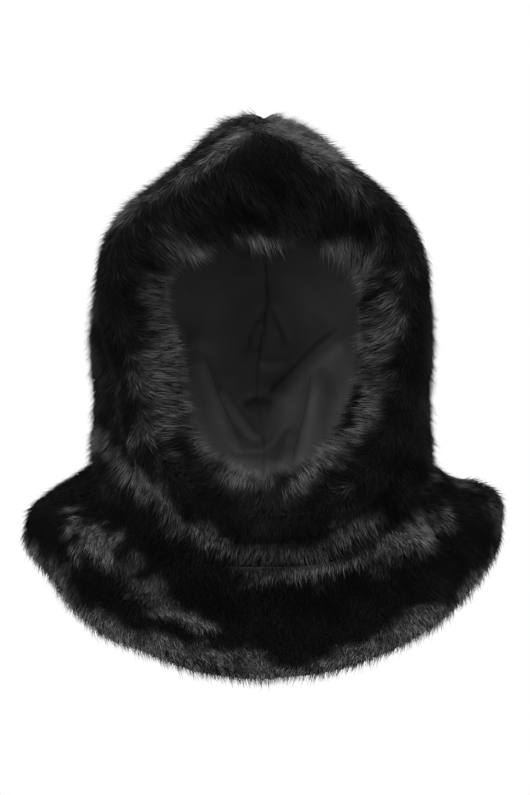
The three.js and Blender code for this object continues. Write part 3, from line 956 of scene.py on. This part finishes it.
def closed_crown(*grids):
    """Adds rows that close a half at the crown, where it meets the other half along the middle. The
    first grid is that of its points, and the others repeat their last row."""
    shares = (0.6, 0.2, 0.0)
    grids = [np.concatenate([grid, *[grid[-1:]] * len(shares)]) for grid in grids]
    for row, share in zip(grids[0][-len(shares) :], shares):
        row[:, 0] *= share
        row[:, 2] += CROWN_BULGE * (1 - share)
    return grids


def face_opening(outset):
    """A test for faces that lie in the face opening, made that much larger."""
    outline, _ = face_outline(OUTLINE_STEPS, outset)
    return lambda middle: (middle[:, 1] < 0) & inside_outline(middle[:, 0], middle[:, 2], outline)


def hood_cloth(name, side, grid):
    """One panel's root surface, from the neck seam up to the crown, open where the band goes."""
    rows, columns = grid
    share, angle = np.meshgrid(crownwards(rows), half_turn(side, columns), indexing="ij")
    points = hood_point(angle, share, ROOT_DEPTH)
    points, angle = closed_crown(points, angle)
    piece, used = grid_mesh(name, points, drop=face_opening(HOOD_EDGE))
    return piece, used, points, angle


def dress_hood(side):
    name = side_name(side)
    cloth, used, points, angle = hood_cloth("hood_cloth", side, HOOD_PILE_GRID)
    up, normal = directions(points)
    away = joined(np.sign(points[..., 0]) * 0.35, 0.25, 0)
    lay = combed(-up + away, normal)
    front = smooth_step(np.cos(angle), 0.2, 0.8)
    lift = mix(*HOOD_LIFT, front)
    base_sheen = mix(*HOOD_SHEEN, front)
    cover = mix(1, HOOD_COVER_BEHIND, smooth_step(-np.cos(angle), 0, 0.5))
    mark = brushed_and_lit(points, HOOD_MARKS)
    groom(cloth, used, points, lay, normal, lift, mark, base_sheen, 0.5, cover=cover)
    pile = grow_pile(cloth, f"hood_pile_{name}", f"hood_panel_{name}")
    backing, used, points, _ = hood_cloth(f"hood_backing_{name}", side, HOOD_BACKING_GRID)
    # The backing gets the marks' painted highlight too.
    carry(backing, used, gleam=brushed_and_lit(points, HOOD_MARKS))
    area = thicken(backing, BACKING)
    finish_piece(backing, BACKING_CLOTH, "fur", f"hood_panel_{name}")


def band_cloth(name, grid):
    points, section = band_surface(*grid, -ROOT_DEPTH)
    piece, used = grid_mesh(name, points, wrap_rows=True, wrap_columns=True)
    return piece, used, points, section


def dress_band():
    cloth, used, points, section = band_cloth("band_cloth", BAND_PILE_GRID)
    _, out = face_outline(BAND_PILE_GRID[0], 0)
    out = joined(out[:, 0], 0, out[:, 1])[:, None]
    _, normal = directions(points, closed=True)
    middle = points.mean(axis=1, keepdims=True)
    normal = normal * np.sign(np.sum(normal * (points - middle), axis=-1, keepdims=True))
    across = section[..., 0] / (BAND_BREADTH / 2)
    outward = smooth_step(across, -0.4, 0.95)
    brow = smooth_step(points[..., 2] - FACE_MIDDLE, FACE_HEIGHT / 3, FACE_HEIGHT / 2)
    # The hair points into the opening on the band's inner side, slanted over the brow, and falls on
    # its outer side. It stands up along the rim, and none grows where the band lies on the hood.
    down = np.array([0.0, 0.0, -1.0])
    slant = joined(0.7 * brow, 0, 0)
    way = mix(-out + 0.2 * down + slant, 0.8 * down + 0.45 * out, outward[..., None])
    lay = combed(way, normal)
    rim = 1 - smooth_step(across, -0.95, -0.35)
    lift = mix(*BAND_LIFT, outward) + BAND_LIFT_RIM * rim
    base_sheen = mix(*BAND_SHEEN, outward)
    cover = smooth_step(section[..., 1] / (BAND_DEPTH / 2), -0.8, -0.4)
    length = mix(1 + BAND_LENGTH_BROW * brow, BAND_LENGTH_OUTER, outward)
    mark = brushed_and_lit(points, HOOD_MARKS)
    groom(cloth, used, points, lay, normal, lift, mark, base_sheen, 0.3, cover=cover, pile=length)
    grow_pile(cloth, "face_band_pile", "face_band")
    core, used, points, _ = band_cloth("face_band_core", BAND_CORE_GRID)
    # The backing gets the marks' painted highlight too.
    carry(core, used, gleam=brushed_and_lit(points, HOOD_MARKS))
    finish_piece(core, BACKING_CLOTH, "fur", "face_band")


# Cape.


def rolled(points, radius, steps):
    """Puts rows before a cloth's first, which roll its hem down and in under its edge."""
    fallen = unit(points[0] - points[1])
    turned = unit(np.roll(points[0], -1, axis=0) - np.roll(points[0], 1, axis=0))
    turned[[0, -1]] = turned[[1, -2]]
    inward = -unit(np.cross(turned, -fallen))
    rows = []
    for turn in np.radians(np.linspace(HEM_ROLL_TURN, 0, steps, endpoint=False)):
        round_hem = math.sin(turn) * fallen + (1 - math.cos(turn)) * inward
        rows.append(points[0] + radius * round_hem)
    return np.concatenate([np.array(rows), points])


def cape_cloth(name, turns, grid_rows, tucked=False):
    """The cape's root surface over some turns, from its rolled hem up to the neck seam, where the
    backing is tucked in behind the hood's. grid_rows are those of the fall and of the hem."""
    rows, roll_rows = grid_rows
    along, angle = np.meshgrid(np.linspace(HEM_START, 0, rows), turns, indexing="ij")
    points = cape_point(angle, along, ROOT_DEPTH)
    points = rolled(points, HEM_ROLL, roll_rows)
    along = np.concatenate([np.ones((roll_rows, along.shape[1])), along])
    if tucked:
        behind = cape_point(turns, 0 * turns, ROOT_DEPTH + BACKING + SEAM_GAP)
        points = np.concatenate([points, [behind, behind + [0, 0, SEAM_TUCK]]])
    piece, used = grid_mesh(name, points, wrap_columns=turns[-1] - turns[0] > 2 * math.pi - 0.1)
    return piece, used, points, along


def lit_hem(points, along):
    """Paints a highlight on the hem's edge all round the front, where it turns up to the light."""
    ragged = 0.07 * drift(points, 22, 9) + 0.03 * drift(points, 8, 10)
    edge = smooth_step(along + ragged, 0.8, 0.97)
    return 0.62 * edge * smooth_step(-points[..., 1], -20, 30)


def dress_cape():
    fronts = np.linspace(-CAPE_SIDE_TURN, CAPE_SIDE_TURN, CAPE_FRONT_COLUMNS)
    backs = np.linspace(CAPE_SIDE_TURN, 360 - CAPE_SIDE_TURN, CAPE_BACK_COLUMNS)
    for name, turns in (("front", np.radians(fronts)), ("back", np.radians(backs))):
        cloth, used, points, along = cape_cloth("cape_cloth", turns, CAPE_PILE_ROWS)
        up, normal = directions(points)
        lay = combed(-up, normal)
        lift = mix(*CAPE_LIFT, smooth_step(along, 0.85, 1))
        # The hem's painted highlight joins the brushed marks.
        mark = np.maximum(brushed_and_lit(points, CAPE_MARKS), lit_hem(points, along))
        base_sheen = mix(*CAPE_SHEEN, smooth_step(points[..., 1], 0, 60))
        length = CAPE_LENGTH + 0 * along
        groom(cloth, used, points, lay, normal, lift, mark, base_sheen, 0.7, pile=length)
        grow_pile(cloth, f"cape_pile_{name}", "shoulder_cape")
    turns = np.linspace(0, 2 * math.pi, CAPE_BACKING_COLUMNS, endpoint=False)
    backing, used, points, _ = cape_cloth("cape_backing", turns, CAPE_BACKING_ROWS, tucked=True)
    # The backing gets the marks' painted highlight too.
    carry(backing, used, gleam=brushed_and_lit(points, CAPE_MARKS))
    area = thicken(backing, BACKING)
    finish_piece(backing, BACKING_CLOTH, "fur", "shoulder_cape")


# Lining.

# Where the lining's rows and columns grow closer or wider, and how many lie before and after.
LINING_BACK = 0.76
LINING_COLUMNS = (26, 60)
LINING_SEEN = 0.74
LINING_ROWS = (148, 22)

# A crease this high, in millimetres, gets the darkest painted shade.
DEEPEST_CREASE = 8.5

# The middle seam's darkness among the folds and above them, its breadth, and where each begins.
SEAM_FAINT = 0.3
SEAM_DARK = 0.75
SEAM_BREADTH = 1.4
FOLDS_LEVEL = from_photo(0, 400)[1]
PLAIN_LEVEL = from_photo(0, 330)[1]


def near_line(x, z, start, end):
    """Distance to a straight line, which side of it, and how far along it."""
    (ax, az), (bx, bz) = start, end
    dx, dz = bx - ax, bz - az
    t = np.clip(((x - ax) * dx + (z - az) * dz) / (dx * dx + dz * dz), 0, 1)
    return np.hypot(x - ax - t * dx, z - az - t * dz), dx * (z - az) - dz * (x - ax), t


def near_route(x, z, route):
    """The same for a route through the photograph."""
    line = np.array([from_photo(*place) for place in route])
    lengths = np.linalg.norm(np.diff(line, axis=0), axis=1)
    travelled = np.concatenate([[0], np.cumsum(lengths)])
    best = np.full(x.shape, np.inf)
    side, share = np.zeros(x.shape), np.zeros(x.shape)
    for i in range(len(lengths)):
        apart, beside, t = near_line(x, z, line[i], line[i + 1])
        closer = apart < best
        best = np.where(closer, apart, best)
        side = np.where(closer, beside, side)
        share = np.where(closer, (travelled[i] + t * lengths[i]) / travelled[-1], share)
    return best, side, share


def lining_lift(point):
    """How far the lining's drapes and creases stand off its wall, how deep a point is in one, which
    is painted as shade, and how near it is to a crest, which is painted as a highlight."""
    x, z = point[..., 0], point[..., 2]
    lift, crease, crest = np.zeros(x.shape), np.zeros(x.shape), np.zeros(x.shape)
    for *ends, width, height in LINING_FOLDS.values():
        ends = np.reshape(ends, (2, 2)) * [FACE_WIDTH / 2, FACE_HEIGHT / 2] + [0, FACE_MIDDLE]
        lift += height * FUR * fading(near_line(x, z, *ends)[0], width * FUR)
    for route, height, left_breadth, right_breadth in LINING_CREASES.values():
        apart, side, share = near_route(x, z, route)
        breadth = np.where(side > 0, left_breadth, right_breadth) * PHOTO_SCALE
        ends = smooth_step(share, 0, 0.2) * smooth_step(1 - share, 0, 0.15)
        lift += height * fading(apart, breadth) * ends
        # A ridge gets painted shade at the foot of its steep side, and a groove along its middle.
        steep = left_breadth if left_breadth < right_breadth else -right_breadth
        foot = 1.5 * steep * PHOTO_SCALE if height > 0 else 0
        off = apart * np.sign(side) - foot
        narrow = fading(off, 0.8 * abs(steep) * PHOTO_SCALE)
        broad = 0.45 * fading(off - steep, 3.2 * abs(steep) * PHOTO_SCALE)
        depth = ends * min(1, abs(height) / DEEPEST_CREASE) ** 1.3
        crease = np.maximum(crease, np.maximum(narrow, broad) * depth)
        # A painted highlight along each ridge's crest.
        crest = np.maximum(crest, fading(off + 2.2 * steep, 4) * ends * (height > 0))
    return lift, crease, crest


def rim_shade(point):
    """The fur's shade on the lining, round the upper half of the opening."""
    x, z = point[..., 0], point[..., 2]
    share = np.hypot(x / (FACE_WIDTH / 2), (z - FACE_MIDDLE) / (FACE_HEIGHT / 2))
    return 0.42 * smooth_step(share, 0.6, 1.05) * smooth_step(z - FACE_MIDDLE, -30, 45)


def lining_point(angle, share):
    point = hood_point(angle, share, LINING_DEPTH)
    behind = BAND_SINK + BAND_DEPTH / 2 + LINING_SLACK
    outer = np.abs(point[..., 0]) + BAND_BREADTH / 2
    outer = np.minimum(outer, (FACE_WIDTH + BAND_BREADTH) / 2)
    held = np.maximum(point[..., 1], behind - hood_front_at(outer, point[..., 2]))
    over = FACE_MIDDLE + FACE_HEIGHT / 2 + BAND_BREADTH
    freed = smooth_step(point[..., 2], over - BAND_BREADTH / 2, over + BAND_BREADTH / 3)
    point[..., 1] = mix(held, point[..., 1], freed)
    at_back = smooth_step(-np.cos(angle), 0.1, 0.6)
    drifted = np.interp(point[..., 2], *lining_seam())
    point[..., 0] += drifted * fading(point[..., 0], 30) * at_back
    lift, crease, crest = lining_lift(point)
    # The seam shows as a dark line, which is lost among the folds below.
    above_folds = smooth_step(point[..., 2], FOLDS_LEVEL, PLAIN_LEVEL)
    seam = mix(SEAM_FAINT, SEAM_DARK, above_folds) * fading(point[..., 0] - drifted, SEAM_BREADTH)
    # Painted shade of the creases and of the fur round the opening, with the seam's dark line.
    crease = np.maximum(np.maximum(crease, seam), rim_shade(point))
    point[..., 1] -= lift * at_back
    return point, crease * at_back, crest * at_back


def lining_seam():
    """Where the middle seam lies at each level, for np.interp."""
    places = np.array([from_photo(*place) for place in MIDDLE_SEAM])[::-1]
    return places[:, 1], places[:, 0]


def in_two(middle, end, counts):
    """Steps from 0 to the middle and on to the end, each stretch with its own count."""
    first = np.linspace(0, middle, counts[0], endpoint=False)
    return np.concatenate([first, np.linspace(middle, end, counts[1])])


def dress_lining(side):
    name = side_name(side)
    # Columns are close together at the back, and rows over the stretch seen through the opening.
    turns = in_two(LINING_BACK, 1, LINING_COLUMNS) * math.pi
    turns = turns if side > 0 else 2 * math.pi - turns[::-1]
    shares = in_two(LINING_SEEN, 0.999, LINING_ROWS)
    share, angle = np.meshgrid(shares, turns, indexing="ij")
    points, crease, crest = closed_crown(*lining_point(angle, share))
    piece, used = grid_mesh(f"jersey_{name}", points, drop=face_opening(LINING_EDGE))
    # Painted light: paler towards the bottom and on the crests.
    low = smooth_step(-points[..., 2], 150, 290)
    rubbed = low * (0.75 + 0.15 * drift(points, 24, 12)) + 0.5 * crest
    carry(piece, used, crease=crease, rubbed=rubbed)
    area = thicken(piece, LINING)
    finish_piece(piece, JERSEY, "lining", f"lining_{name}")
    for face in piece.data.polygons:
        face.use_smooth = True


dress_hood(1)
dress_hood(-1)
dress_band()
dress_cape()
dress_lining(1)
dress_lining(-1)

# Studio.


def studio():
    """A round paper floor under a plain white surround, with soft lamps overhead, before and
    behind."""
    turns = np.linspace(0, 2 * math.pi, FLOOR_SIDES, endpoint=False)
    radii = np.array([FLOOR_RADIUS, 1.0])[:, None]
    rings = joined(radii * np.cos(turns), radii * np.sin(turns), FLOOR_LEVEL)
    floor, _ = grid_mesh("studio_floor", rings, wrap_columns=True)
    material, tree, shader = new_material("studio_paper", PAPER, 0.95, 0.1)
    grain = bump(tree, noise(tree, object_place(tree), 500.0, 2.0), 0.05, 0.001)
    fill(tree, shader, {"Normal": grain})
    # Seen from below the paper is clear, so that it doesn't hide the hood's underside.
    below = put(tree, "ShaderNodeNewGeometry", {}).outputs["Backfacing"]
    clear = put(tree, "ShaderNodeBsdfTransparent", {}).outputs[0]
    sides = {0: below, 1: shader.outputs[0], 2: clear}
    one_sided = put(tree, "ShaderNodeMixShader", sides).outputs[0]
    fill(tree, tree.nodes["Material Output"], {"Surface": one_sided})
    floor.data.materials.append(material)

    def lamp(name, place, size, power):
        data = bpy.data.lights.new(name, "AREA")
        data.shape, data.size, data.size_y, data.energy = "RECTANGLE", size[0], size[1], power
        light = bpy.data.objects.new(name, data)
        bpy.context.scene.collection.objects.link(light)
        light.location = place
        aim = Vector(LAMPS_AIM) - Vector(place)
        light.rotation_euler = aim.to_track_quat("-Z", "Y").to_euler()
        light.visible_camera = False

    lamp("overhead", (0, -0.25, 1.6), (1.6, 1.2), 46)
    lamp("front_high", (0, -2.4, 1.7), (1.2, 0.8), 14)
    lamp("back_fill", (0, 2.6, 1.1), (1.6, 1.0), 22)
    lamp("side_fill_right", (-1.3, -2.8, 0.1), (0.8, 1.6), 34)
    lamp("side_fill_left", (1.3, -2.8, 0.1), (0.8, 1.6), 16)
    world = bpy.data.worlds.new("studio")
    bpy.context.scene.world = world
    world.use_nodes = True
    tree = world.node_tree
    seen = put(tree, "ShaderNodeLightPath", {}).outputs["Is Camera Ray"]
    strength = ranged(tree, seen, SURROUND_LIGHT, 1.0)
    fill(tree, tree.nodes["Background"], {"Color": (1, 1, 1, 1), "Strength": strength})
    bpy.context.scene.view_settings.view_transform = "Standard"


studio()
